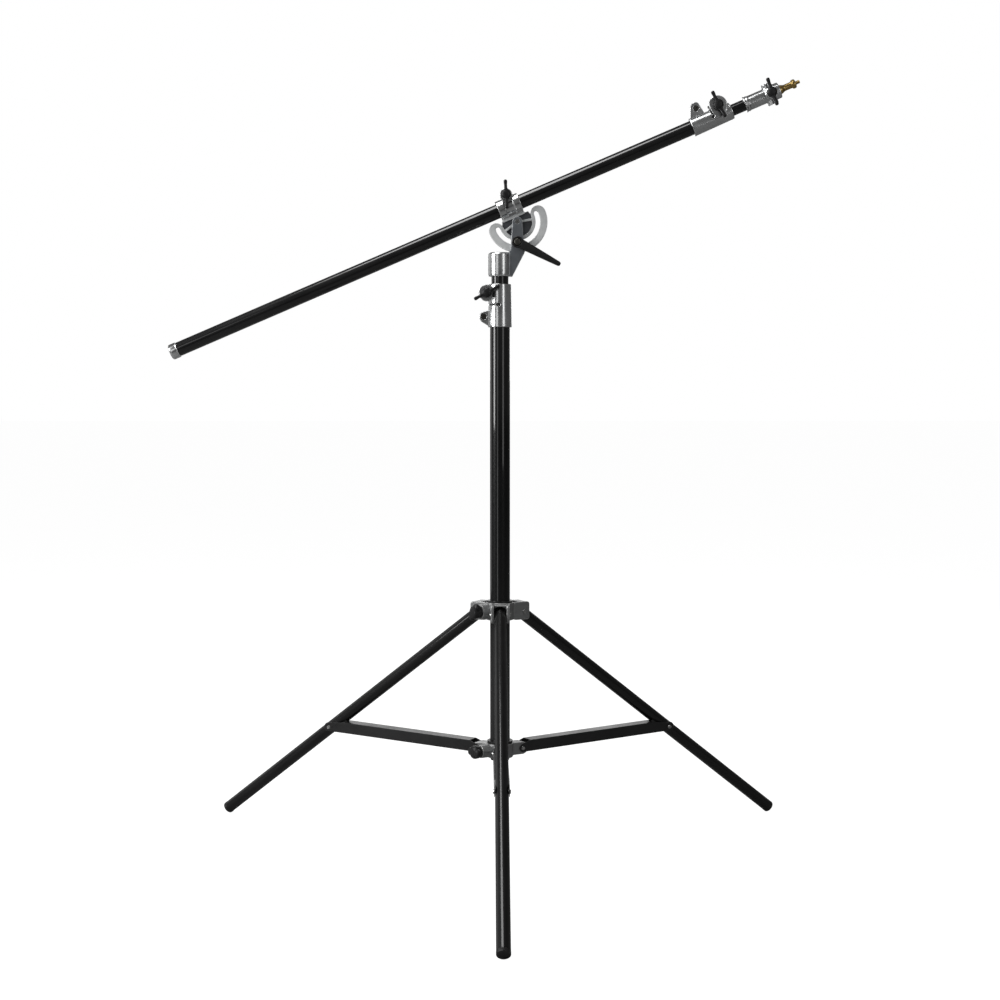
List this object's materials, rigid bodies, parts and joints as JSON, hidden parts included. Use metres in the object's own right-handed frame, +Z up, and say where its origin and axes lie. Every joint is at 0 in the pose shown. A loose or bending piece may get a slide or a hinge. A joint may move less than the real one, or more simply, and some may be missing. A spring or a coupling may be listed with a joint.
{
  "type": "boom light stand",
  "caption": "Folding tripod light stand with a riser and a tilting telescopic boom arm that ends in a 16 mm spigot with a 1/4 in thread.",
  "frame": {"origin": "on the floor under the column's axis", "axes": "+Z up along the column, +X towards the spigot end of the boom, one leg towards -Y"},
  "size_m": [1.1149, 0.9285, 1.3609],
  "materials": {
    "black_gloss": "gloss black coated tube",
    "leg_black": "semi-gloss black coated tube",
    "brace_grey": "satin dark grey pressed sheet",
    "collar_grey": "satin die-cast aluminium",
    "bright_casting": "polished cast aluminium",
    "quadrant_grey": "satin light grey casting",
    "arm_grey": "dark satin grey fork",
    "black_plastic": "moulded black plastic",
    "white_plastic": "white plastic guide",
    "steel": "zinc-plated steel",
    "dark_screw": "dark oxide steel",
    "brass": "turned brass"
  },
  "bodies": {
    "base": {"base_tube": "black_gloss", "base_end_plug": "black_plastic", "lower_collar": "collar_grey", "lower_collar_liner": "black_plastic", "brace_inner_pins": "steel", "column_casting": "bright_casting", "column_clamp_screw": "dark_screw", "column_clamp_nut": "steel"},
    "collar": {"upper_collar": "collar_grey", "upper_collar_liner": "black_plastic", "leg_top_pins": "steel"},
    "brace_1": {"brace_1": "brace_grey", "brace_rivet_1": "steel"},
    "leg_1": {"leg_1": "leg_black", "leg_foot_1": "black_plastic"},
    "brace_2": {"brace_2": "brace_grey", "brace_rivet_2": "steel"},
    "leg_2": {"leg_2": "leg_black", "leg_foot_2": "black_plastic"},
    "brace_3": {"brace_3": "brace_grey", "brace_rivet_3": "steel"},
    "leg_3": {"leg_3": "leg_black", "leg_foot_3": "black_plastic"},
    "riser_guide": {"riser_bush": "white_plastic"},
    "riser": {"riser_tube": "black_gloss", "tilt_cap": "bright_casting", "tilt_arm": "arm_grey", "cap_screws": "dark_screw", "pivot_bolt": "steel", "pivot_nut": "steel"},
    "tilt": {"tilt_quadrant": "quadrant_grey", "boom_clamp": "bright_casting"},
    "lever": {"lock_lever": "black_plastic", "lock_stud": "steel", "lever_screw": "dark_screw"},
    "boom": {"boom_tube": "black_gloss", "boom_tail_sleeve": "bright_casting", "boom_casting": "bright_casting", "boom_clamp_screw": "dark_screw", "boom_clamp_nut": "steel"},
    "extension": {"extension_tube": "black_gloss", "extension_bush": "white_plastic", "spigot_holder": "bright_casting"},
    "spigot": {"spigot": "brass"},
    "knob_upper_collar": {"knob_upper_collar": "black_plastic", "stud_upper_collar": "steel"},
    "knob_lower_collar": {"knob_lower_collar": "black_plastic", "stud_lower_collar": "steel"},
    "knob_column": {"knob_column": "black_plastic", "stud_column": "steel"},
    "knob_clamp": {"knob_clamp": "black_plastic", "stud_clamp": "steel"},
    "knob_boom": {"knob_boom": "black_plastic", "stud_boom": "steel"},
    "knob_spigot": {"knob_spigot": "black_plastic", "stud_spigot": "steel"}
  },
  "joints": [
    {"name": "collar_slide", "type": "slide", "parent": "base", "child": "collar", "axis": [0, 0, 1], "range_m": [0, 0.47281]},
    {"name": "brace_1_fold", "type": "hinge", "parent": "base", "child": "brace_1", "pos_m": [0, -0.0405, 0.18585], "axis": [-1, 0, 0], "range_deg": [0, 85.01]},
    {"name": "leg_1_fold", "type": "hinge", "parent": "brace_1", "child": "leg_1", "pos_m": [0, -0.36062, 0.19284], "axis": [1, 0, 0], "range_deg": [0, 135.36]},
    {"name": "brace_2_fold", "type": "hinge", "parent": "base", "child": "brace_2", "pos_m": [0.03507, 0.02025, 0.18585], "axis": [0.5, -0.866, 0], "range_deg": [0, 85.01]},
    {"name": "leg_2_fold", "type": "hinge", "parent": "brace_2", "child": "leg_2", "pos_m": [0.3123, 0.18031, 0.19284], "axis": [-0.5, 0.866, 0], "range_deg": [0, 135.36]},
    {"name": "brace_3_fold", "type": "hinge", "parent": "base", "child": "brace_3", "pos_m": [-0.03507, 0.02025, 0.18585], "axis": [0.5, 0.866, 0], "range_deg": [0, 85.01]},
    {"name": "leg_3_fold", "type": "hinge", "parent": "brace_3", "child": "leg_3", "pos_m": [-0.3123, 0.18031, 0.19284], "axis": [-0.5, -0.866, 0], "range_deg": [0, 135.36]},
    {"name": "riser_slide", "type": "slide", "parent": "base", "child": "riser_guide", "axis": [0, 0, 1], "range_m": [-0.012, 0.72]},
    {"name": "head_swivel", "type": "hinge", "parent": "riser_guide", "child": "riser", "pos_m": [0, 0, 1.0202], "axis": [0, 0, 1], "continuous": true},
    {"name": "boom_tilt", "type": "hinge", "parent": "riser", "child": "tilt", "pos_m": [0.03, 0, 1.1145], "axis": [0, -1, 0], "range_deg": [-90, 34]},
    {"name": "lock_lever_turn", "type": "hinge", "parent": "riser", "child": "lever", "pos_m": [0.03, 0, 1.0785], "axis": [0, -1, 0], "range_deg": [-45, 45]},
    {"name": "boom_slide", "type": "slide", "parent": "tilt", "child": "boom", "axis": [0.9191, 0, 0.3939], "range_m": [-0.25, 0.55]},
    {"name": "extension_slide", "type": "slide", "parent": "boom", "child": "extension", "axis": [0.9191, 0, 0.3939], "range_m": [-0.02, 0.78]},
    {"name": "spigot_turn", "type": "hinge", "parent": "extension", "child": "spigot", "pos_m": [0.48418, 0, 1.3418], "axis": [0.9191, 0, 0.3939], "continuous": true},
    {"name": "knob_upper_collar_turn", "type": "hinge", "parent": "collar", "child": "knob_upper_collar", "pos_m": [-0.03551, -0.0205, 0.43401], "axis": [-0.866, -0.5, 0], "continuous": true},
    {"name": "knob_lower_collar_turn", "type": "hinge", "parent": "base", "child": "knob_lower_collar", "pos_m": [-0.03551, -0.0205, 0.18585], "axis": [-0.866, -0.5, 0], "continuous": true},
    {"name": "knob_column_turn", "type": "hinge", "parent": "base", "child": "knob_column", "pos_m": [-0.023, -0.015, 0.9915], "axis": [0, -1, 0], "continuous": true},
    {"name": "knob_clamp_turn", "type": "hinge", "parent": "tilt", "child": "knob_clamp", "pos_m": [0.0103, -0.013, 1.16046], "axis": [0, -1, 0], "continuous": true},
    {"name": "knob_boom_turn", "type": "hinge", "parent": "boom", "child": "knob_boom", "pos_m": [0.37638, -0.015, 1.31409], "axis": [0, -1, 0], "continuous": true},
    {"name": "knob_spigot_turn", "type": "hinge", "parent": "extension", "child": "knob_spigot", "pos_m": [0.46764, -0.02, 1.33471], "axis": [0, -1, 0], "continuous": true}
  ],
  "couplings": [
    {"joint": "brace_1_fold", "follows": "collar_slide", "rad_per_m": 3.1381},
    {"joint": "leg_1_fold", "follows": "collar_slide", "rad_per_m": 4.9967},
    {"joint": "brace_2_fold", "follows": "collar_slide", "rad_per_m": 3.1381},
    {"joint": "leg_2_fold", "follows": "collar_slide", "rad_per_m": 4.9967},
    {"joint": "brace_3_fold", "follows": "collar_slide", "rad_per_m": 3.1381},
    {"joint": "leg_3_fold", "follows": "collar_slide", "rad_per_m": 4.9967}
  ]
}
